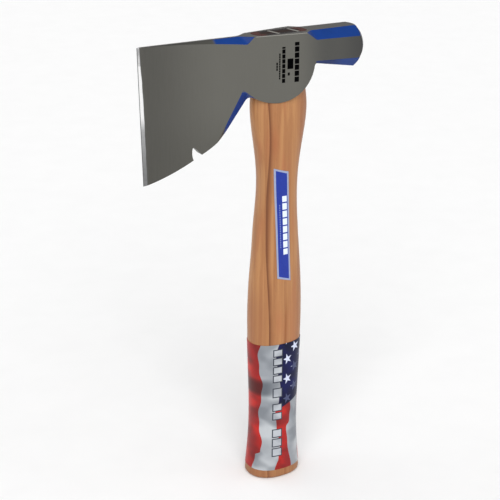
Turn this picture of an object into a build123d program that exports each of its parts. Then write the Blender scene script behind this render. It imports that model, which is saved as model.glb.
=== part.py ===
"""Roofing hatchet: forged steel head, hickory handle, wedges, label and grip wrap.

Frame: +Z runs up the handle, the origin is the centre of the handle's flat butt, +X points to the
striking poll and -X to the cutting edge.  The head is the same on both sides of the XZ plane.
Millimetres throughout.
"""
from build123d import *
import math
import os

os.makedirs("parts", exist_ok=True)

# ---------------------------------------------------------------- driving dimensions
overall_height = 330.2  # 13 inches, butt to the top of the head
edge_length = 92.6  # cutting edge, top corner to beard tip
edge_lean = 1.9  # degrees, the beard tip stands nearer the handle than the top corner
edge_x = -105.7  # top corner of the cutting edge
bevel_half_angle = 20.5  # degrees, each side of the sharpened edge
face_x = 61.6  # striking face
face_radius = 11.3  # flat of the striking face, inside its turned 45 degree rim
poll_axis_height = 316.6
neck_x = 22.4  # where the poll's underside meets the eye
neck_bottom = 308.4
poll_bottom = 301.2  # underside of the poll at the striking face

eye_half_width = 13.1  # widest half thickness of the head, at the poll end of the eye
cheek_slope = 0.142  # how fast each cheek widens along the eye
behind_eye_half_width = 8.33  # half thickness where the hollow of the blade begins
blade_half_width = 1.25  # half thickness of the blade just behind the sharpened edge
cheek_camber = 0.6  # how much thinner each cheek is at its top and bottom than half way up
arris = 0.3  # rounding of the head's sharp outer edges
lobe_arris = 0.2  # and of the lobe under the eye
hollow_corner = 8.0  # rounding between the facet and the end wall of each upper hollow
beard_corner = 3.0  # and of the hollow under the beard

butt_rounding = 2.4
handle_top = 296.0  # shoulder of the handle, under the head
handle_squareness = 2.3  # 2 is a plain ellipse, more is squarer

wrap_bottom = 7.1
wrap_top = 107.2
wrap_thickness = 0.3
label_thickness = 0.2
label_width = 10.6
label_bottom = 156.5
label_top = 237.0
label_slant = 18.0  # degrees, the slope of the label's two ends
label_centre = -1.9
label_lean = 2.0  # degrees, the top of the label stands nearer the cutting edge

wood_wedge_from = -14.5
wood_wedge_to = 15.5
steel_wedge_width = 11.6
steel_wedge_turn = 9.5  # degrees away from straight across the eye

# ---------------------------------------------------------------- head
edge_top = Vector(edge_x, 0, overall_height)
edge_down = Vector(math.sin(math.radians(edge_lean)), 0, -math.cos(math.radians(edge_lean)))
beard_tip = edge_top + edge_down * edge_length

# The cheeks: sections seen from above, straight past the eye and hollowed towards the edge.
with BuildPart() as cheeks:
    for section_height, thinner in ((228, cheek_camber), (280, 0), (332, cheek_camber)):
        with BuildSketch(Plane.XY.offset(section_height)):
            with BuildLine():
                blade_end = (-110, blade_half_width - 0.4 * thinner)
                behind_eye = (-19, behind_eye_half_width - thinner)
                mid_eye = (4, behind_eye[1] + 23 * cheek_slope)
                poll_root = (24, eye_half_width - thinner)
                poll_end = (64, eye_half_width + 0.3 - thinner)
                Line((-110, 0), blade_end)
                TangentArc(behind_eye, blade_end, tangent=(-1, -cheek_slope))
                Line(behind_eye, mid_eye)
                TangentArc(mid_eye, poll_root, tangent=(1, cheek_slope))
                Polyline(poll_root, poll_end, (64, 0))
                mirror(about=Plane.XZ)
            make_face()
    loft()

# The tapered eye that the handle's tenon fills.
eye_sections = (
    (272, -0.5, 18.6, 7.6),
    (303, -0.5, 18.2, 6.4),
    (334, 0.4, 21.0, 6.9),
)
with BuildPart() as eye:
    for section_height, centre, half_length, half_width in eye_sections:
        with BuildSketch(Plane.XY.offset(section_height)):
            with Locations((centre, 0)):
                RectangleRounded(2 * half_length, 2 * half_width, 5.5)
    loft()

# Forged hollows left beside the ground faces, each cut by a facet and closed by an end wall.
def hollow(facet, end_wall, corner_radius=0.0):
    """A block outside the facet plane, on the open side of its end wall, rounded where they meet."""
    def off_both(edge):
        middle = edge @ 0.5
        return abs(facet.to_local_coords(middle).Z) + abs(end_wall.to_local_coords(middle).Z)

    with BuildPart() as block:
        with Locations((0, 0, overall_height)):
            Box(400, 400, 400)
        split(bisect_by=facet, keep=Keep.TOP)
        split(bisect_by=end_wall, keep=Keep.TOP)
        if corner_radius:
            fillet(edges().sort_by(off_both)[0], radius=corner_radius)
    return block.part


top_slope = math.atan(0.85)
blade_top_hollow = hollow(
    Plane((-40, 1.2, overall_height), z_dir=(0, math.sin(top_slope), math.cos(top_slope))),
    Plane((-23.3, 7.0, 330.1), z_dir=(-0.52, 0.70, 0.48)),
    corner_radius=hollow_corner,
)
beard_hollow = hollow(
    Plane((-24.9, 1.66, 288.3), z_dir=(0.483, 1, -0.326)),
    Plane((-28.7, 6.3, 293.0), z_dir=(-0.587, 0.293, -0.754)),
    corner_radius=beard_corner,
)
poll_top_hollow = hollow(
    Plane((20, 6.9, overall_height), z_dir=(0.011, 0.68, 0.73)),
    Plane((15, 12.2, overall_height), z_dir=(0.473, 0.527, 0.706)),
    corner_radius=hollow_corner,
)
poll_under_hollow = hollow(
    Plane((22, eye_half_width, 310.4), z_dir=(-0.03, 0.746, -0.666)),
    Plane((neck_x, 0, 0), z_dir=(1, 0, 0)),
)


def arrises(candidates, x_from, x_to, z_to, clear=0.0):
    """The edges whose middle lies between two places in X, under z_to and clear of the XZ plane."""
    def wanted(edge):
        middle = edge @ 0.5
        return x_from < middle.X < x_to and middle.Z < z_to and abs(middle.Y) >= clear
    return candidates.filter_by(wanted)


with BuildPart() as head:
    # side outline, from the top corner of the edge round to the poll
    with BuildSketch(Plane.XZ):
        with BuildLine():
            front_top = (edge_x - 3, overall_height)
            beard_start = (beard_tip.X - 3, beard_tip.Z - 0.6)
            notch_front = (-66.4, 250.9)
            notch_back = (-60.5, 254.2)
            beard_bend = (-40.5, 269.4)
            beard_root = (-24.8, 288.4)
            lobe_bottom = (-6.5, 284.0)
            Line(front_top, beard_start)
            ThreePointArc(beard_start, (-84, 243.0), notch_front)
            ThreePointArc(notch_front, (-67.5, 256.0), (-67.1, 259.3))
            ThreePointArc((-67.1, 259.3), (-66.7, 259.8), (-66.1, 259.6))
            ThreePointArc((-66.1, 259.6), (-63.4, 257.2), notch_back)
            ThreePointArc(notch_back, (-50.2, 260.5), beard_bend)
            Line(beard_bend, beard_root)
            ThreePointArc(beard_root, (-24.0, 289.0), (-23.0, 289.0))
            ThreePointArc((-23.0, 289.0), (-15.0, 285.4), lobe_bottom)
            ThreePointArc(lobe_bottom, (11.3, 289.8), (21.4, 307.2))
            ThreePointArc((21.4, 307.2), (21.9, 308.1), (23.0, neck_bottom))
            Line((23.0, neck_bottom), (face_x, poll_bottom))
            Line((face_x, poll_bottom), (face_x, overall_height))
            Line((face_x, overall_height), front_top)
        make_face()
    extrude(amount=20, both=True)
    add(cheeks.part, mode=Mode.INTERSECT)
    add(eye.part, mode=Mode.SUBTRACT)
    for relief in (blade_top_hollow, beard_hollow, poll_top_hollow, poll_under_hollow):
        add(relief, mode=Mode.SUBTRACT)
        add(mirror(relief, about=Plane.XZ, mode=Mode.PRIVATE), mode=Mode.SUBTRACT)
    # turned rim round the striking face
    with BuildSketch(Plane.XZ):
        with BuildLine():
            rim_low = (face_x, poll_axis_height + face_radius)
            rim_high = (face_x - 20, poll_axis_height + face_radius + 20)
            Polyline(rim_low, rim_high, (face_x + 5, rim_high[1]), (face_x + 5, rim_low[1]), close=True)
        make_face()
    revolve(axis=Axis((0, 0, poll_axis_height), (1, 0, 0)), mode=Mode.SUBTRACT)
    # sharpened edge, one bevel each side
    with BuildSketch(Plane(edge_top - edge_down * 5, x_dir=edge_down.cross(Vector(0, 1, 0)), z_dir=edge_down)):
        bevel_reach = 14
        with BuildLine():
            Polyline(
                (0, 0),
                (bevel_reach, bevel_reach * math.tan(math.radians(bevel_half_angle))),
                (bevel_reach, 12),
                (-12, 12),
                (-12, 0),
                close=True,
            )
        make_face()
        mirror(about=Plane.XZ)
    extrude(amount=edge_length + 20, mode=Mode.SUBTRACT)
    # outer edges eased: the lobe under the eye, then the top, the poll and the lower blade
    fillet(arrises(edges(), -20, 22, 305, clear=8), radius=lobe_arris)
    top_rims = faces().sort_by(Axis.Z)[-1].edges()
    poll_root_lines = arrises(edges(), neck_x + 0.2, 25, 328).filter_by(lambda edge: abs((edge % 0.5).X) > 0.5)
    poll_rims = arrises(edges(), 25, face_x + 1, 328)
    lower_blade = arrises(edges(), -101, -55, 262, clear=1)
    fillet([*top_rims, *poll_root_lines, *poll_rims, *lower_blade], radius=arris)

# ---------------------------------------------------------------- wedges
wedge_length = 26
with BuildPart() as wood_wedge:
    with BuildSketch(Plane.YZ.offset(wood_wedge_from)):
        with BuildLine():
            Polyline(
                (-2.2, overall_height),
                (2.2, overall_height),
                (0.6, overall_height - wedge_length),
                (-0.6, overall_height - wedge_length),
                close=True,
            )
        make_face()
    extrude(amount=wood_wedge_to - wood_wedge_from)


def steel_wedge(place_x):
    """A step-sided steel wedge driven into the end grain, across the wood wedge."""
    turn = math.radians(steel_wedge_turn)
    side = Plane(
        (place_x, 0, overall_height),
        x_dir=(math.cos(turn), math.sin(turn), 0),
        z_dir=(math.sin(turn), -math.cos(turn), 0),
    )
    with BuildPart() as wedge:
        with BuildSketch(side):
            with BuildLine():
                Polyline((-1.1, 0), (1.1, 0), (0.7, -7), (0.9, -7.2), (0.2, -15), (-0.2, -15), (-0.9, -7.2),
                         (-0.7, -7), close=True)
            make_face()
        extrude(amount=steel_wedge_width / 2, both=True)
    return wedge.part


rear_wedge = steel_wedge(-3.9)
front_wedge = steel_wedge(11.5)

# ---------------------------------------------------------------- handle
# height, centre in X, half length in X and half width in Y of the handle's oval sections
handle_sections = (
    (0, 0, 20.6, 16.4),
    (22, 0, 18.4, 15.5),
    (48, 0, 17.4, 14.8),
    (78, 0, 18.4, 14.4),
    (112, 0, 20.0, 14.1),
    (145, 0, 19.8, 13.7),
    (180, 0, 17.2, 12.9),
    (218, 0.3, 14.4, 12.4),
    (244, 0.6, 16.1, 12.2),
    (262, 0.8, 19.4, 11.6),
    (277, 0.8, 21.4, 10.5),
    (287, 0.5, 21.2, 9.6),
    (handle_top, 0.2, 19.6, 8.9),
)


def oval(centre, half_length, half_width):
    """Points of a squared oval, for a closed spline."""
    power = 2 / handle_squareness
    points = []
    for step in range(24):
        angle = 2 * math.pi * (step + 0.5) / 24
        across, along = math.sin(angle), math.cos(angle)
        points.append(
            (
                centre + half_length * math.copysign(abs(along) ** power, along),
                half_width * math.copysign(abs(across) ** power, across),
            )
        )
    return points


def swept_handle(grow):
    """The handle's outside, from the butt to its shoulder, grown by the given amount."""
    with BuildPart() as body:
        for height, centre, half_length, half_width in handle_sections:
            with BuildSketch(Plane.XY.offset(height)):
                with BuildLine():
                    Spline(oval(centre, half_length + grow, half_width + grow), periodic=True)
                make_face()
        loft()
    return body.part


handle_body = swept_handle(0)

with BuildPart() as tenon:
    add(eye.part)
    split(bisect_by=Plane.XY.offset(overall_height), keep=Keep.BOTTOM)

with BuildPart() as handle:
    add(handle_body)
    fillet(handle.edges().group_by(Axis.Z)[0], radius=butt_rounding)
    add(tenon.part)
    add(head.part, mode=Mode.SUBTRACT)
    for wedge in (wood_wedge.part, rear_wedge, front_wedge):
        add(wedge, mode=Mode.SUBTRACT)

with BuildPart() as wood_wedge_fitted:
    add(wood_wedge.part)
    for wedge in (rear_wedge, front_wedge):
        add(wedge, mode=Mode.SUBTRACT)

# ---------------------------------------------------------------- grip wrap and label
with BuildPart() as grip_wrap:
    add(swept_handle(wrap_thickness))
    split(bisect_by=Plane.XY.offset(wrap_bottom), keep=Keep.TOP)
    split(bisect_by=Plane.XY.offset(wrap_top), keep=Keep.BOTTOM)
    add(handle_body, mode=Mode.SUBTRACT)

with BuildPart() as handle_label:
    label_middle = (label_bottom + label_top) / 2
    upright = Plane((label_centre, 0, label_middle), x_dir=(1, 0, 0), z_dir=(0, -1, 0))
    with BuildSketch(upright.rotated((0, -label_lean, 0))):
        half_height = (label_top - label_bottom) / 2
        drop = label_width / 2 * math.tan(math.radians(label_slant))
        with BuildLine():
            Polyline(
                (-label_width / 2, half_height + drop),
                (label_width / 2, half_height - drop),
                (label_width / 2, -half_height - drop),
                (-label_width / 2, -half_height + drop),
                close=True,
            )
        make_face()
    extrude(amount=30)
    add(swept_handle(label_thickness), mode=Mode.INTERSECT)
    add(handle_body, mode=Mode.SUBTRACT)

# ---------------------------------------------------------------- files, one for each piece
pieces = {
    "head": head.part,
    "handle": handle.part,
    "wood_wedge": wood_wedge_fitted.part,
    "steel_wedge_rear": rear_wedge,
    "steel_wedge_front": front_wedge,
    "grip_wrap": grip_wrap.part,
    "handle_label": handle_label.part,
}
for name, piece in pieces.items():
    piece.label = name
    export_step(piece, f"parts/{name}.step")
    print(name, len(piece.solids()), round(piece.volume), piece.bounding_box().size)
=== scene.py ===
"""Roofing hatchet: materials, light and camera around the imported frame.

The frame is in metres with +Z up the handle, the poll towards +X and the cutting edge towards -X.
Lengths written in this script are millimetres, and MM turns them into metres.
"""
import math
import bpy
from mathutils import Matrix, Vector


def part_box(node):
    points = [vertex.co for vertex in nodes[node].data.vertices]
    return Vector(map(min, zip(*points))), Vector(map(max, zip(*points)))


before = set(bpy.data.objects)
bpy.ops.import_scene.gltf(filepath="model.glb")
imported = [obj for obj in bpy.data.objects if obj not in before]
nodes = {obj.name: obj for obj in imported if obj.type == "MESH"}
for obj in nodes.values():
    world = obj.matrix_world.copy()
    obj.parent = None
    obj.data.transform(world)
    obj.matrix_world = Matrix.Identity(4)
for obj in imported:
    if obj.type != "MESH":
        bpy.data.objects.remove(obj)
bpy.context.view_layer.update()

MM = 0.001

# ---------------------------------------------------------------- sizes taken from the frame, in mm
head_low, head_high = (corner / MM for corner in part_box("head"))
label_low, label_high = (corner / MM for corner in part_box("handle_label"))
top_z = head_high.z
edge_x = head_low.x

# ---------------------------------------------------------------- camera
CAMERA_TARGET = Vector((-20.6, 0, 178.0)) * MM
CAMERA_DISTANCE = 979.0 * MM
CAMERA_AZIMUTH = math.radians(-30.94)
CAMERA_ELEVATION = math.radians(20.70)
CAMERA_ROLL = math.radians(0.55)
CAMERA_LENS = 100.8


def make_camera():
    """A long lens, up and to the left of the hatchet, with a slight roll."""
    back = Vector((
        math.sin(CAMERA_AZIMUTH) * math.cos(CAMERA_ELEVATION),
        -math.cos(CAMERA_AZIMUTH) * math.cos(CAMERA_ELEVATION),
        math.sin(CAMERA_ELEVATION),
    ))
    right = (-back).cross(Vector((0, 0, 1))).normalized()
    up = back.cross(right)
    rolled_right = math.cos(CAMERA_ROLL) * right + math.sin(CAMERA_ROLL) * up
    rolled_up = math.cos(CAMERA_ROLL) * up - math.sin(CAMERA_ROLL) * right
    turn = Matrix((rolled_right, rolled_up, back)).transposed()
    camera = bpy.data.objects.new("camera", bpy.data.cameras.new("camera"))
    camera.data.lens = CAMERA_LENS
    camera.data.sensor_width = 36
    camera.data.clip_start = 0.05
    camera.data.clip_end = 50
    camera.matrix_world = Matrix.Translation(CAMERA_TARGET + back * CAMERA_DISTANCE) @ turn.to_4x4()
    bpy.context.scene.collection.objects.link(camera)
    bpy.context.scene.camera = camera


# ---------------------------------------------------------------- shader helper
def colour(red, green, blue):
    """A colour from the usual 0 to 255 display values."""
    def linear(value):
        value = value / 255
        return value / 12.92 if value <= 0.04045 else ((value + 0.055) / 1.055) ** 2.4
    return (linear(red), linear(green), linear(blue), 1.0)


class Shader:
    """One material's node tree. Its methods take sockets or plain numbers and return sockets."""

    def __init__(self, name):
        self.material = bpy.data.materials.new(name)
        self.material.use_nodes = True
        self.tree = self.material.node_tree
        self.tree.nodes.clear()
        metres = self.node("ShaderNodeTexCoord").outputs["Object"]
        self.place = self.vector("SCALE", metres, Scale=1 / MM)
        self.x, self.y, self.z = self.node("ShaderNodeSeparateXYZ", {"Vector": self.place}).outputs

    def node(self, kind, inputs=None, **settings):
        made = self.tree.nodes.new(kind)
        for name, value in settings.items():
            setattr(made, name, value)
        for name, value in (inputs or {}).items():
            self.feed(made.inputs[name], value)
        return made

    def feed(self, socket, value):
        if isinstance(value, bpy.types.NodeSocket):
            self.tree.links.new(value, socket)
        else:
            socket.default_value = value

    def calc(self, operation, *values):
        """A Math node."""
        made = self.node("ShaderNodeMath", operation=operation)
        for socket, value in zip(made.inputs, values):
            self.feed(socket, value)
        return made.outputs[0]

    def vector(self, operation, first, second=None, **named):
        """A Vector Math node, with its vector or value output."""
        made = self.node("ShaderNodeVectorMath", operation=operation)
        self.feed(made.inputs[0], first)
        if second is not None:
            self.feed(made.inputs[1], second)
        for name, value in named.items():
            self.feed(made.inputs[name], value)
        return made.outputs["Value" if operation in ("DOT_PRODUCT", "DISTANCE") else "Vector"]

    def add(self, *values):
        total = values[0]
        for value in values[1:]:
            total = self.calc("ADD", total, value)
        return total

    def times(self, *values):
        product = values[0]
        for value in values[1:]:
            product = self.calc("MULTIPLY", product, value)
        return product

    def minus(self, first, second):
        return self.calc("SUBTRACT", first, second)

    def rise(self, value, low, high):
        """0 up to low, 1 from high on, and smooth between them. low may be above high."""
        made = self.node("ShaderNodeMapRange", interpolation_type="SMOOTHSTEP")
        for name, number in (("Value", value), ("From Min", low), ("From Max", high)):
            self.feed(made.inputs[name], number)
        return made.outputs["Result"]

    def spread(self, value, low, high):
        """A 0 to 1 value taken to the range from low to high."""
        return self.add(self.times(value, high - low), low)

    def within(self, value, low, high, soft):
        """1 between low and high, with soft ends."""
        return self.times(
            self.rise(value, low - soft, low + soft), self.rise(value, high + soft, high - soft)
        )

    def mix(self, factor, first, second):
        made = self.node("ShaderNodeMix", data_type="RGBA")
        self.feed(made.inputs[0], factor)
        self.feed(made.inputs[6], first)
        self.feed(made.inputs[7], second)
        return made.outputs[2]

    def noise(self, size, seed=0.0, detail=2.0, rough=0.5):
        """Noise from 0 to 1 with features of about these (x, y, z) mm."""
        at = self.vector("DIVIDE", self.place, size)
        at = self.vector("ADD", at, (seed, seed * 1.7, seed * 0.6))
        return self.node(
            "ShaderNodeTexNoise", {"Vector": at, "Scale": 1.0, "Detail": detail, "Roughness": rough}
        ).outputs["Fac"]

    def bump(self, height, depth):
        """A normal from a 0 to 1 height that is depth mm deep."""
        inputs = {"Height": height, "Distance": depth * MM, "Strength": 1.0}
        return self.node("ShaderNodeBump", inputs).outputs["Normal"]

    def surface(self, **inputs):
        """Ends the tree in a Principled BSDF. Spaces in the names of its inputs are written as _."""
        named = {name.replace("_", " "): value for name, value in inputs.items()}
        shader = self.node("ShaderNodeBsdfPrincipled", named)
        self.node("ShaderNodeOutputMaterial", {"Surface": shader.outputs["BSDF"]})
        return self.material


# ---------------------------------------------------------------- head
# Each hollow of the head: a facet and its end wall as (point, outward normal), the radius that joins
# them, and where paint stays.
TOP_SLOPE = math.atan(0.85)
HOLLOWS = {
    "blade_top": {
        "facet": ((-40, 1.2, 330.2), (0, math.sin(TOP_SLOPE), math.cos(TOP_SLOPE))),
        "wall": ((-23.3, 7.0, 330.1), (-0.52, 0.70, 0.48)),
        "corner": 8.0,
        "paint_from": -51.0,
    },
    "beard": {
        "facet": ((-24.9, 1.66, 288.3), (0.483, 1, -0.326)),
        "wall": ((-28.7, 6.3, 293.0), (-0.587, 0.293, -0.754)),
        "corner": 3.0,
        "paint_from": -44.0,
    },
    "poll_top": {
        "facet": ((20, 6.9, 330.2), (0.011, 0.68, 0.73)),
        "wall": ((15, 12.2, 330.2), (0.473, 0.527, 0.706)),
        "corner": 8.0,
        "paint_from": 0.0,
    },
    "poll_under": {
        "facet": ((22, 13.1, 310.4), (-0.03, 0.746, -0.666)),
        "wall": ((22.4, 0, 0), (1, 0, 0)),
        "corner": 0.0,
        "paint_from": 0.0,
    },
}
EDGE_LEAN = math.radians(1.9)
BEVEL_HALF_ANGLE = math.radians(20.5)
SKIN = 0.07  # how near a face a point is taken to lie on it
ROUND_SKIN = 0.17  # the same for a round face, which the mesh only follows with flats
POLL_AXIS_Z = 316.6
RIM_REACH = 72.9  # X plus the distance from the poll's axis, all over its turned rim
PAINT_FADE = 1.5  # how softly a hollow's paint ends along X
STRIP_TOP_WIDTH = 1.5  # width of the honed strip at the top of the edge
STRIP_LOW_WIDTH = 2.4  # and from STRIP_WIDENS below the top on
STRIP_WIDENS = 40
DEEP_ENAMEL = colour(6, 26, 74)


def above_plane(shader, place, point, normal):
    """How far a place stands outside a plane, in mm."""
    outward = Vector(normal).normalized()
    return shader.minus(shader.vector("DOT_PRODUCT", place, outward), Vector(point).dot(outward))


def on_plane(shader, height, skin=SKIN):
    return shader.rise(shader.calc("ABSOLUTE", height), skin * 1.4, skin * 0.6)


def in_corner(shader, hollow, facet, wall):
    """1 on the round surface that joins a hollow's facet to its end wall."""
    radius = hollow["corner"]
    cosine = Vector(hollow["facet"][1]).normalized().dot(Vector(hollow["wall"][1]).normalized())
    off_facet = shader.add(facet, -radius)
    off_wall = shader.add(wall, -radius)
    squares = shader.add(
        shader.times(off_facet, off_facet),
        shader.times(off_wall, off_wall),
        shader.times(off_facet, off_wall, -2 * cosine),
    )
    from_centre = shader.calc("SQRT", shader.times(squares, 1 / (1 - cosine * cosine)))
    facet_side = shader.minus(off_facet, shader.times(off_wall, cosine))
    wall_side = shader.minus(off_wall, shader.times(off_facet, cosine))
    return shader.times(
        on_plane(shader, shader.add(from_centre, -radius), ROUND_SKIN),
        shader.rise(facet_side, SKIN, 0.0),
        shader.rise(wall_side, SKIN, 0.0),
    )


def hollow_masks(shader, mirrored):
    """1 on the painted parts of the head's hollows, 1 on their end walls and 1 on the bare facets."""
    painted, walls, bare = 0.0, 0.0, 0.0
    for hollow in HOLLOWS.values():
        facet = above_plane(shader, mirrored, *hollow["facet"])
        wall = above_plane(shader, mirrored, *hollow["wall"])
        in_facet = shader.times(on_plane(shader, facet), shader.rise(wall, -SKIN * 2, -SKIN))
        in_wall = shader.times(on_plane(shader, wall), shader.rise(facet, -SKIN * 2, -SKIN))
        paint_end = hollow["paint_from"]
        kept = shader.rise(shader.x, paint_end - PAINT_FADE, paint_end + PAINT_FADE)
        either = shader.calc("MAXIMUM", in_facet, in_wall)
        if hollow["corner"]:
            either = shader.calc("MAXIMUM", either, in_corner(shader, hollow, facet, wall))
        painted = shader.calc("MAXIMUM", painted, shader.times(either, kept))
        walls = shader.calc("MAXIMUM", walls, in_wall)
        bare = shader.calc("MAXIMUM", bare, shader.times(in_facet, shader.minus(1.0, kept)))
    return painted, walls, bare


# The generic mark on the near cheek: columns of plain bars, as (x from, x to, z from, z to, pitch).
MARK_COLUMNS = (
    (5.9, 9.2, 297.0, 324.6, 4.1),
    (0.6, 4.9, 306.2, 313.8, 8.0),
    (0.9, 2.4, 301.8, 304.4, 8.0),
    (-3.2, -0.9, 297.2, 322.0, 3.3),
    (-5.4, -4.4, 300.0, 318.0, 1.6),
    (-7.4, -6.3, 306.0, 312.0, 1.9),
)
MARK_GAP = 0.55
MARK_SOFT = 0.08


def cheek_mark(shader):
    """1 on the printed bars of the near cheek."""
    printed = 0.0
    for left, right, low, high, pitch in MARK_COLUMNS:
        along = shader.calc("MODULO", shader.minus(shader.z, low), pitch)
        gap = MARK_GAP * min(1.0, pitch / 4)
        bar = shader.times(
            shader.within(shader.x, left, right, MARK_SOFT),
            shader.within(shader.z, low, high, MARK_SOFT),
            shader.rise(along, gap - MARK_SOFT, gap + MARK_SOFT),
        )
        printed = shader.calc("MAXIMUM", printed, bar)
    near_side = shader.rise(shader.y, -2.0, -2.5)
    worn = shader.rise(shader.noise((0.7, 0.7, 0.7), seed=4), 0.22, 0.3)
    return shader.times(printed, near_side, worn)


def head_material():
    """Ground steel, honed along the edge, with blue enamel in its hollows and a plain printed mark."""
    shader = Shader("ground_steel")
    mirrored = shader.node(
        "ShaderNodeCombineXYZ",
        {"X": shader.x, "Y": shader.calc("ABSOLUTE", shader.y), "Z": shader.z},
    ).outputs[0]
    paint, end_wall_shade, bare_facets = hollow_masks(shader, mirrored)
    ink = cheek_mark(shader)

    inward = Vector((math.cos(EDGE_LEAN), 0, math.sin(EDGE_LEAN)))
    bevel_normal = (
        -math.sin(BEVEL_HALF_ANGLE) * inward.x,
        math.cos(BEVEL_HALF_ANGLE),
        -math.sin(BEVEL_HALF_ANGLE) * inward.z,
    )
    bevel = on_plane(shader, above_plane(shader, mirrored, (edge_x, 0, top_z), bevel_normal))

    cloud = shader.noise((26, 9, 34), seed=1, detail=3)
    grind = shader.noise((0.5, 0.5, 14.0), seed=2, detail=3, rough=0.6)
    grind_coarse = shader.noise((1.6, 2.0, 40.0), seed=5, detail=2)
    edge_grind = shader.noise((6.0, 4.0, 0.5), seed=3, detail=3)

    from_edge = shader.add(
        shader.times(shader.minus(shader.x, edge_x), math.cos(EDGE_LEAN)),
        shader.times(shader.minus(shader.z, top_z), math.sin(EDGE_LEAN)),
    )
    # painted shade: the ground steel is painted lighter in the middle of the blade and darker towards
    # the cutting edge and towards the bottom
    mid_blade_light = shader.rise(from_edge, 4, 60)
    low_blade_shade = shader.rise(shader.z, 292, 244)
    ground = shader.mix(mid_blade_light, colour(87, 86, 82), colour(111, 110, 104))
    ground = shader.mix(shader.times(low_blade_shade, 0.5), ground, colour(82, 81, 76))
    ground = shader.mix(shader.times(cloud, 0.3), ground, colour(98, 97, 92))
    ground = shader.mix(shader.times(grind, 0.16), ground, colour(132, 131, 126))
    ground = shader.mix(shader.times(shader.rise(shader.x, 6, 32), 0.85), ground, colour(86, 86, 84))
    ground = shader.mix(shader.times(shader.rise(shader.x, 40, 60), 0.5), ground, colour(68, 68, 69))
    # painted shade: the bare, unpainted facets are painted darker
    ground = shader.mix(shader.times(bare_facets, 0.25), ground, colour(56, 55, 52))
    # painted shade: the top face is painted darker
    top_face_shade = shader.rise(shader.z, top_z - 0.5, top_z - 0.1)
    ground = shader.mix(shader.times(top_face_shade, 0.6), ground, colour(84, 80, 76))
    # painted highlight: a light line along the arris round the top of the eye
    rim_highlight = shader.times(
        shader.within(shader.z, top_z - 0.32, top_z - 0.03, 0.02),
        shader.within(shader.x, -22, 23, 0.5),
    )
    ground = shader.mix(shader.times(rim_highlight, 0.8), ground, colour(190, 188, 180))

    # the honed strip along the cutting edge: a core between two grey lines; the core's brightness,
    # strongest in its upper half and with near-white patches, is painted highlight on the honed steel
    strip = shader.add(
        shader.spread(
            shader.rise(shader.z, top_z, top_z - STRIP_WIDENS), STRIP_TOP_WIDTH, STRIP_LOW_WIDTH
        ),
        shader.times(shader.noise((20, 20, 9), seed=7, detail=2), 0.7),
    )
    in_strip = shader.minus(strip, from_edge)
    core = shader.times(shader.rise(from_edge, 0.25, 0.55), shader.rise(in_strip, 0.0, 0.4))
    glint_patches = shader.times(
        shader.within(shader.z, 280, 322, 6.0),
        shader.rise(shader.noise((30, 30, 6), seed=8, detail=2), 0.2, 0.4),
    )
    honed = shader.mix(edge_grind, colour(80, 81, 82), colour(104, 104, 106))
    low_core = shader.rise(shader.z, 286, 240)
    bright = shader.mix(edge_grind, colour(150, 151, 152), colour(196, 196, 196))
    dull = shader.mix(edge_grind, colour(104, 105, 106), colour(148, 148, 148))
    bright = shader.mix(low_core, bright, dull)
    bright = shader.mix(glint_patches, bright, colour(246, 246, 246))
    honed = shader.mix(core, honed, bright)
    honed = shader.mix(shader.rise(in_strip, 0.3, -0.2), honed, ground)

    enamel = shader.mix(shader.noise((9, 9, 9), seed=6), colour(5, 48, 114), colour(10, 56, 132))
    # painted shade: the enamel under the poll is painted darker near the neck
    neck_shade = shader.times(shader.within(shader.x, 18, 40, 6.0), shader.rise(shader.z, 312, 309))
    enamel = shader.mix(shader.times(neck_shade, 0.7), enamel, DEEP_ENAMEL)
    # painted shade: the enamel on the hollows' end walls is painted darker
    enamel = shader.mix(shader.times(end_wall_shade, 0.25), enamel, colour(3, 32, 86))

    # the poll's turned rim is darker, and the facets' paint runs over it
    from_axis = shader.add(shader.z, -POLL_AXIS_Z)
    reach = shader.calc(
        "SQRT", shader.add(shader.times(shader.y, shader.y), shader.times(from_axis, from_axis))
    )
    rim = shader.rise(shader.add(shader.x, reach), RIM_REACH - 0.7, RIM_REACH - 0.3)
    ground = shader.mix(shader.times(rim, 0.8), ground, colour(58, 59, 62))
    beside_facet = shader.times(
        shader.rise(shader.calc("ABSOLUTE", from_axis), 7.0, 9.0),
        shader.rise(shader.calc("ABSOLUTE", shader.y), 5.0, 7.0),
    )
    paint = shader.calc("MAXIMUM", paint, shader.times(rim, beside_facet, 0.85))
    enamel = shader.mix(shader.times(rim, 0.7), enamel, DEEP_ENAMEL)

    base = shader.mix(bevel, ground, honed)
    base = shader.mix(paint, base, enamel)
    base = shader.mix(ink, base, colour(6, 6, 7))
    rough = shader.add(shader.spread(grind_coarse, 0.38, 0.44), shader.times(bevel, -0.16))
    height = shader.add(
        shader.times(grind, shader.minus(1.0, shader.calc("MAXIMUM", paint, bevel))),
        shader.times(edge_grind, bevel),
        shader.times(shader.noise((1.6, 1.6, 1.6), seed=9), paint, 2.0),
    )
    return shader.surface(
        Base_Color=base, Metallic=shader.minus(1.0, paint), Roughness=rough, Specular_IOR_Level=0.15,
        Normal=shader.bump(height, 0.02),
    )


def wedge_steel_material():
    """Scaly bright steel, dented by the hammer that drove it in."""
    shader = Shader("wedge_steel")
    scale = shader.noise((1.6, 1.6, 3), seed=11, detail=4, rough=0.7)
    hammered = shader.noise((0.9, 0.9, 0.9), seed=12, detail=2)
    base = shader.mix(scale, colour(138, 134, 128), colour(186, 182, 174))
    return shader.surface(
        Base_Color=base, Metallic=0.9, Roughness=shader.spread(scale, 0.35, 0.55),
        Normal=shader.bump(hammered, 0.12),
    )


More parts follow.
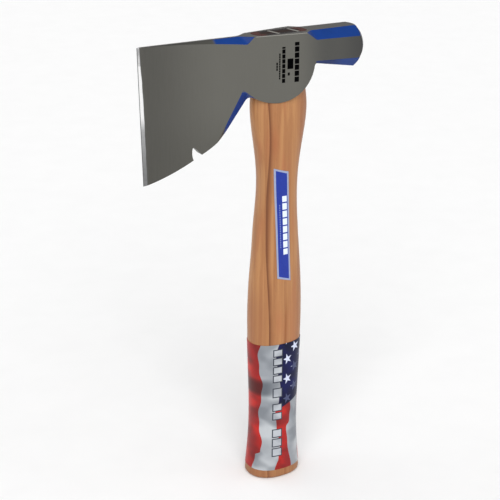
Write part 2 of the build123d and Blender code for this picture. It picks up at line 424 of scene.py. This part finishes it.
# ---------------------------------------------------------------- wood
PITH = (60.0, -52.0)  # where the tree's centre lies from the handle's axis, X and Y
RING = 7.4  # width of one year's growth
STREAK_X = -12.3  # the dark mineral streak down the near side
SWAY = 0.9  # how far the streak sways, once in each SWAY_LENGTH up from SWAY_FROM
SWAY_LENGTH = 135
SWAY_FROM = 112.0


def grain_line(shader, place, fade):
    """1 on a grain line at place 0: sharp on its -X side and fading over its +X side."""
    return shader.times(shader.rise(place, -0.3, 0.1), shader.rise(place, fade, 0.4))


def hickory(name):
    """Straight-grained hickory under clear lacquer, with dark end grain inside the eye."""
    shader = Shader(name)
    drift = shader.noise((40, 40, 420), seed=21, detail=1)
    wander = shader.noise((9, 9, 150), seed=22, detail=2)
    across_x = shader.minus(PITH[0], shader.x)
    across_y = shader.minus(PITH[1], shader.y)
    radius = shader.calc(
        "SQRT", shader.add(shader.times(across_x, across_x), shader.times(across_y, across_y))
    )
    radius = shader.add(radius, shader.times(drift, 5.0), shader.times(wander, 2.0))
    year = shader.calc("FRACT", shader.times(radius, 1 / RING))
    late = shader.times(shader.rise(year, 0.5, 0.96), shader.rise(year, 1.0, 0.97))

    band = shader.noise((3.4, 3.4, 260), seed=23, detail=3, rough=0.55)
    patch = shader.noise((9, 9, 60), seed=24, detail=2)
    thread = shader.rise(shader.noise((0.9, 0.9, 110), seed=30, detail=2), 0.54, 0.68)
    fibre = shader.noise((0.35, 0.35, 14), seed=25, detail=3, rough=0.65)
    pores = shader.noise((0.22, 0.22, 5.0), seed=26, detail=1)
    pore = shader.times(shader.rise(pores, 0.60, 0.70), shader.rise(year, 0.6, 0.95))

    tan = shader.mix(shader.rise(band, 0.36, 0.64), colour(178, 127, 81), colour(163, 111, 69))
    tan = shader.mix(shader.times(shader.rise(patch, 0.5, 0.74), 0.6), tan, colour(170, 106, 68))
    base = shader.mix(shader.times(late, 0.28), tan, colour(146, 92, 54))
    base = shader.mix(shader.times(thread, 0.2), base, colour(140, 88, 52))
    base = shader.mix(shader.times(shader.rise(fibre, 0.5, 0.8), 0.16), base, colour(150, 97, 58))
    base = shader.mix(shader.times(pore, 0.35), base, colour(118, 72, 46))

    # the streak sways once between the grip and the eye; a fainter line stands right of it low down
    sway_turn = shader.times(shader.add(shader.z, -SWAY_FROM), 2 * math.pi / SWAY_LENGTH)
    sway = shader.times(shader.calc("COSINE", sway_turn), SWAY)
    near_side = shader.rise(shader.y, 3.0, -2.0)
    from_streak = shader.minus(shader.x, shader.add(sway, STREAK_X))
    streak = shader.times(
        grain_line(shader, from_streak, 3.8), near_side,
        shader.spread(shader.rise(shader.noise((30, 30, 22), seed=28), 0.35, 0.65), 0.75, 1.0),
    )
    low_line = shader.times(
        grain_line(shader, shader.add(shader.x, sway, -1.4), 3.0),
        near_side,
        shader.rise(shader.z, 152, 122),
    )
    flush = shader.times(
        shader.within(shader.x, -13.2, -5.5, 3.0), shader.within(shader.z, 246, 266, 12.0), near_side
    )
    # painted shade: the wood is painted darker along its right edge and low down on its left edge
    right_edge_shade = shader.times(
        shader.rise(shader.x, 7, 16), shader.spread(shader.rise(shader.z, 190, 240), 0.3, 0.6)
    )
    left_foot_shade = shader.times(shader.rise(shader.x, -12, -17), shader.rise(shader.z, 160, 130), 0.4)
    base = shader.mix(shader.calc("MAXIMUM", right_edge_shade, left_foot_shade), base, colour(146, 92, 60))
    base = shader.mix(shader.times(flush, 0.6), base, colour(160, 92, 56))
    base = shader.mix(shader.times(streak, 0.85), base, colour(124, 72, 40))
    heart = shader.times(grain_line(shader, from_streak, 1.5), near_side, 0.5)
    base = shader.mix(heart, base, colour(96, 52, 28))
    base = shader.mix(shader.times(low_line, 0.75), base, colour(140, 84, 42))
    base = shader.mix(shader.times(shader.rise(shader.z, 9, 5), 0.45), base, colour(138, 90, 56))

    in_eye = shader.rise(shader.z, top_z - 0.6, top_z - 0.2)
    end_pores = shader.noise((1.2, 1.2, 1.2), seed=29, detail=3)
    end_grain = shader.mix(end_pores, colour(44, 16, 11), colour(86, 36, 28))
    # the end grain is darker in the middle of the eye
    dark_middle = shader.within(shader.x, -12.5, 13.5, 1.5)
    end_grain = shader.mix(shader.times(dark_middle, 0.9), end_grain, colour(12, 11, 10))
    base = shader.mix(in_eye, base, end_grain)

    height = shader.add(shader.times(fibre, 0.5), shader.times(pore, -1.0))
    return shader.surface(
        Base_Color=base, Roughness=shader.spread(in_eye, 0.42, 0.95), Specular_IOR_Level=0.3,
        Coat_Weight=0.1, Coat_Roughness=0.25,
        Normal=shader.bump(height, 0.04),
    )


def wedge_wood_material():
    """Dark end grain of the wooden wedge."""
    shader = Shader("wedge_wood")
    grain = shader.noise((6, 0.6, 6), seed=31, detail=3)
    base = shader.mix(grain, colour(22, 18, 15), colour(56, 34, 27))
    return shader.surface(
        Base_Color=base, Roughness=shader.spread(grain, 0.85, 1.0), Specular_IOR_Level=0.2,
        Normal=shader.bump(grain, 0.1),
    )


# ---------------------------------------------------------------- label
LABEL_LEAN = math.radians(2.0)
LABEL_SLANT = math.radians(18.0)
LABEL_CENTRE_X = -1.9
LABEL_WIDTH = 10.6
LABEL_BORDER = 1.2
BLOCK_PITCH = 5.6  # from one white block to the next
DASH_PITCH = 1.7
CLEAR_OF_ZERO = 100  # keeps the places that MODULO takes above 0


def label_material():
    """A blue foil label with a silver border, plain white blocks and a thin dashed line."""
    shader = Shader("foil_label")
    middle = (label_low.z + label_high.z) / 2
    slant_drop = LABEL_WIDTH / 2 * math.tan(LABEL_SLANT)
    half_height = (label_high.z - label_low.z) / 2 - slant_drop
    side = shader.add(shader.x, -LABEL_CENTRE_X)
    up = shader.add(shader.z, -middle)
    across = shader.add(side, shader.times(up, math.tan(LABEL_LEAN)))
    along = shader.add(up, shader.times(across, math.tan(LABEL_SLANT)))
    in_side = shader.minus(LABEL_WIDTH / 2, shader.calc("ABSOLUTE", across))
    in_end = shader.minus(half_height, shader.calc("ABSOLUTE", along))
    inset = shader.calc("MINIMUM", in_side, in_end)
    field = shader.rise(inset, LABEL_BORDER - 0.1, LABEL_BORDER + 0.1)

    cell = shader.calc("MODULO", shader.add(up, CLEAR_OF_ZERO * BLOCK_PITCH), BLOCK_PITCH)
    blocks = shader.times(
        shader.within(across, 0.0, 3.5, 0.1),
        shader.within(up, -21.5, 21.5, 0.1),
        shader.within(cell, 0.5, 5.1, 0.1),
    )
    dash = shader.calc("MODULO", shader.add(up, CLEAR_OF_ZERO), DASH_PITCH)
    dashes = shader.times(
        shader.within(across, -2.3, -1.7, 0.08),
        shader.within(up, -17, 16, 0.1),
        shader.within(dash, 0.5, 1.5, 0.1),
    )
    mottle = shader.noise((2.5, 2.5, 2.5), seed=41, detail=3)
    blue = shader.mix(mottle, colour(16, 42, 140), colour(22, 50, 152))
    silver = shader.mix(mottle, colour(136, 146, 180), colour(156, 166, 194))
    base = shader.mix(field, silver, blue)
    base = shader.mix(shader.times(blocks, field), base, colour(222, 232, 248))
    base = shader.mix(shader.times(dashes, 0.6), base, colour(150, 168, 220))
    return shader.surface(
        Base_Color=base, Roughness=0.36, Specular_IOR_Level=0.3, Coat_Weight=0.1, Coat_Roughness=0.15,
        Normal=shader.bump(shader.noise((3, 3, 12), seed=42, detail=2), 0.04),
    )


# ---------------------------------------------------------------- grip wrap
RED_WIDTH = 34.0  # degrees round the grip, where the stripes are narrowest
SILVER_WIDTH = 45.0
FIELD_LEFT = -17.0
FOLD = 46.5  # mm from one printed fold to the next
GRIP_RADIUS = 16.0
STAR_RADIUS = 4.2
STAR_ROW = 15.6  # mm along the grip
STAR_COLUMN = 25.0  # degrees round it
# groups of plain bars along the grip, as (z from, z to)
BAR_GROUPS = ((17.5, 40.5), (47.0, 61.0), (65.0, 73.5), (77.0, 104.0))
BAR_PITCH = 7.0
BAR_TURN = -18.0
BAR_HALF_WIDTH = 4.0
BAR_GAP = 0.7


def star_field(shader, turn):
    """1 inside five-pointed stars set out in staggered rows."""
    column = shader.times(shader.minus(turn, 12.0 - STAR_COLUMN / 2), 1 / STAR_COLUMN)
    odd = shader.calc("MODULO", shader.calc("ABSOLUTE", shader.calc("FLOOR", column)), 2.0)
    row = shader.times(shader.minus(shader.z, 79.0), 1 / STAR_ROW)
    row = shader.add(row, 0.5, shader.times(odd, 0.46))
    column_width = math.radians(STAR_COLUMN) * GRIP_RADIUS
    east = shader.times(shader.minus(shader.calc("FRACT", column), 0.5), column_width)
    north = shader.times(shader.minus(shader.calc("FRACT", row), 0.5), STAR_ROW)
    reach = shader.calc("SQRT", shader.add(shader.times(east, east), shader.times(north, north)))
    point = 2 * math.pi / 5
    bearing = shader.add(shader.calc("ARCTAN2", east, north), 2 * point + 0.25)
    in_point = shader.calc("FLOORED_MODULO", bearing, point)
    from_tip = shader.calc("ABSOLUTE", shader.minus(in_point, point / 2))
    from_chord = shader.minus(point, shader.minus(point / 2, from_tip))
    chord = shader.times(reach, shader.calc("COSINE", from_chord))
    edge = STAR_RADIUS * math.cos(point)
    return shader.times(shader.rise(chord, edge + 0.1, edge - 0.1), shader.rise(turn, -1.0, 0.0))


def grip_bars(shader, turn):
    """The outer and inner outlines of the plain bars printed along the grip."""
    across = shader.times(shader.minus(turn, BAR_TURN), math.radians(GRIP_RADIUS))
    aside = shader.minus(BAR_HALF_WIDTH, shader.calc("ABSOLUTE", across))
    inset = -1.0
    for low, high in BAR_GROUPS:
        pitch = (high - low) / round((high - low) / BAR_PITCH)
        cell = shader.calc("MODULO", shader.minus(shader.z, low), pitch)
        off_middle = shader.calc("ABSOLUTE", shader.minus(cell, pitch / 2))
        along = shader.minus(pitch / 2 - BAR_GAP / 2, off_middle)
        along = shader.calc("MINIMUM", along, shader.minus(shader.z, low))
        along = shader.calc("MINIMUM", along, shader.minus(high, shader.z))
        inset = shader.calc("MAXIMUM", inset, shader.calc("MINIMUM", along, aside))
    return shader.rise(inset, -0.05, 0.15), shader.rise(inset, 0.7, 0.95)


def grip_material():
    """A printed film: wavy red and silver stripes beside a blue field of stars."""
    shader = Shader("printed_film")
    turn = shader.times(shader.calc("ARCTAN2", shader.x, shader.times(shader.y, -1)), 180 / math.pi)
    lag = shader.times(shader.calc("MAXIMUM", shader.minus(turn, FIELD_LEFT), 0.0), 0.5)
    fold = shader.times(shader.add(shader.z, -73.0, lag), 2 * math.pi / FOLD)
    crest = shader.calc("COSINE", fold)
    ripple = shader.calc("SINE", shader.times(fold, 3.0))
    swing = shader.spread(shader.rise(turn, -75, -30), 4.0, 6.5)
    notch = shader.times(shader.rise(shader.z, 21.5, 18.5), shader.rise(turn, -35, -50), -12.0)
    waved = shader.minus(turn, shader.add(shader.times(crest, swing), shader.times(ripple, 1.6), notch))
    repeat = RED_WIDTH + SILVER_WIDTH
    from_silver = shader.add(waved, SILVER_WIDTH - FIELD_LEFT)
    widening = shader.times(shader.calc("MINIMUM", from_silver, 0.0), -0.45)
    stripe = shader.times(shader.add(from_silver, widening, 4 * repeat), 1 / repeat)
    silver_part = shader.within(shader.calc("FRACT", stripe), 0.0, SILVER_WIDTH / repeat, 0.004)
    field_bottom = shader.rise(shader.minus(shader.z, shader.times(turn, 0.1)), 57.3, 57.7)
    field = shader.times(
        shader.rise(waved, FIELD_LEFT - 0.4, FIELD_LEFT + 0.4),
        shader.rise(waved, 118.4, 117.6),
        field_bottom,
    )

    soft_fold = shader.times(
        shader.rise(crest, 0.4, 0.95), shader.spread(shader.rise(shader.z, 40, 62), 0.35, 1.0),
        shader.spread(shader.rise(turn, -20, -50), 0.5, 1.0),
    )
    crease = shader.times(shader.rise(shader.noise((15, 15, 11), seed=53, detail=1), 0.46, 0.7), 0.55)
    shade = shader.calc("MAXIMUM", soft_fold, crease)
    sheen = shader.rise(shader.noise((20, 20, 14), seed=54, detail=1), 0.36, 0.66)
    red = shader.mix(sheen, colour(146, 36, 36), colour(188, 40, 34))
    red = shader.mix(shade, red, colour(84, 30, 30))
    silver = shader.mix(sheen, colour(146, 150, 156), colour(182, 186, 190))
    silver = shader.mix(shade, silver, colour(98, 103, 110))
    navy = shader.mix(sheen, colour(12, 15, 52), colour(17, 22, 78))
    navy = shader.mix(shade, navy, colour(9, 11, 32))
    low_stars = shader.rise(shader.z, 73, 68)
    right_stars = shader.times(shader.rise(turn, 24, 28), shader.rise(shader.z, 98, 94))
    dim = shader.calc("MAXIMUM", low_stars, right_stars)
    white = shader.mix(dim, colour(206, 212, 234), colour(70, 76, 108))

    base = shader.mix(silver_part, red, silver)
    base = shader.mix(field, base, navy)
    base = shader.mix(shader.times(field, star_field(shader, turn)), base, white)
    outline, inside = grip_bars(shader, turn)
    base = shader.mix(outline, base, colour(54, 58, 68))
    base = shader.mix(inside, base, shader.mix(shade, colour(180, 184, 190), colour(122, 127, 135)))
    crinkle = shader.noise((4, 4, 10), seed=51, detail=3)
    return shader.surface(
        Base_Color=base, Roughness=0.34, Specular_IOR_Level=0.15, Coat_Weight=0.06, Coat_Roughness=0.2,
        Normal=shader.bump(crinkle, 0.1),
    )


def give(node_name, material):
    """Sets a CAD node's material."""
    piece = nodes[node_name]
    piece.data.materials.clear()
    piece.data.materials.append(material)


# ---------------------------------------------------------------- stage
# each as (name, direction it shines from, width in degrees, strength)
SUNS = (
    ("key", (-0.9, -1.5, 1.6), 45.0, 1.9),
    ("fill", (1.3, -1.6, 1.3), 60.0, 0.35),
    ("back", (-1.2, 1.6, 1.8), 60.0, 0.35),
)
SKY_LOW = 0.95  # strength of the sky at the horizon
SKY_HIGH = 0.5  # and from SKY_RISE up, as the height of a direction one unit long
SKY_RISE = 0.2
FLOOR_REACH = 12.0  # metres


def make_stage():
    """A plain pale floor, an even sky and three wide, soft suns."""
    floor_mesh = bpy.data.meshes.new("floor")
    corners = [(x * FLOOR_REACH, y * FLOOR_REACH, 0) for x, y in ((-1, -1), (1, -1), (1, 1), (-1, 1))]
    floor_mesh.from_pydata(corners, [], [(0, 1, 2, 3)])
    floor = bpy.data.objects.new("floor", floor_mesh)
    bpy.context.scene.collection.objects.link(floor)
    shader = Shader("pale_floor")
    paper = shader.noise((30, 30, 30), seed=61, detail=2)
    floor_mesh.materials.append(
        shader.surface(
            Base_Color=shader.mix(paper, colour(246, 246, 246), colour(250, 250, 250)), Roughness=0.9,
        )
    )

    # an even sky, paler at the horizon so that the floor has no hard end
    world = bpy.data.worlds.new("sky")
    bpy.context.scene.world = world
    world.use_nodes = True
    tree = world.node_tree
    heading = tree.nodes.new("ShaderNodeTexCoord")
    split = tree.nodes.new("ShaderNodeSeparateXYZ")
    fade = tree.nodes.new("ShaderNodeMapRange")
    tree.links.new(heading.outputs["Generated"], split.inputs["Vector"])
    tree.links.new(split.outputs["Z"], fade.inputs["Value"])
    limits = (("From Min", 0.0), ("From Max", SKY_RISE), ("To Min", SKY_LOW), ("To Max", SKY_HIGH))
    for name, number in limits:
        fade.inputs[name].default_value = number
    tree.links.new(fade.outputs["Result"], tree.nodes["Background"].inputs["Strength"])
    tree.nodes["Background"].inputs["Color"].default_value = (1, 1, 1, 1)

    for name, at, spread, power in SUNS:
        light = bpy.data.lights.new(name, "SUN")
        light.angle = math.radians(spread)
        light.energy = power
        lamp = bpy.data.objects.new(name, light)
        lamp.location = at
        lamp.rotation_euler = Vector(at).to_track_quat("Z", "Y").to_euler()
        bpy.context.scene.collection.objects.link(lamp)
    bpy.context.scene.view_settings.view_transform = "Standard"


make_camera()
make_stage()
give("head", head_material())
give("handle", hickory("hickory"))
give("wood_wedge", wedge_wood_material())
wedge_steel = wedge_steel_material()
give("steel_wedge_rear", wedge_steel)
give("steel_wedge_front", wedge_steel)
give("grip_wrap", grip_material())
give("handle_label", label_material())
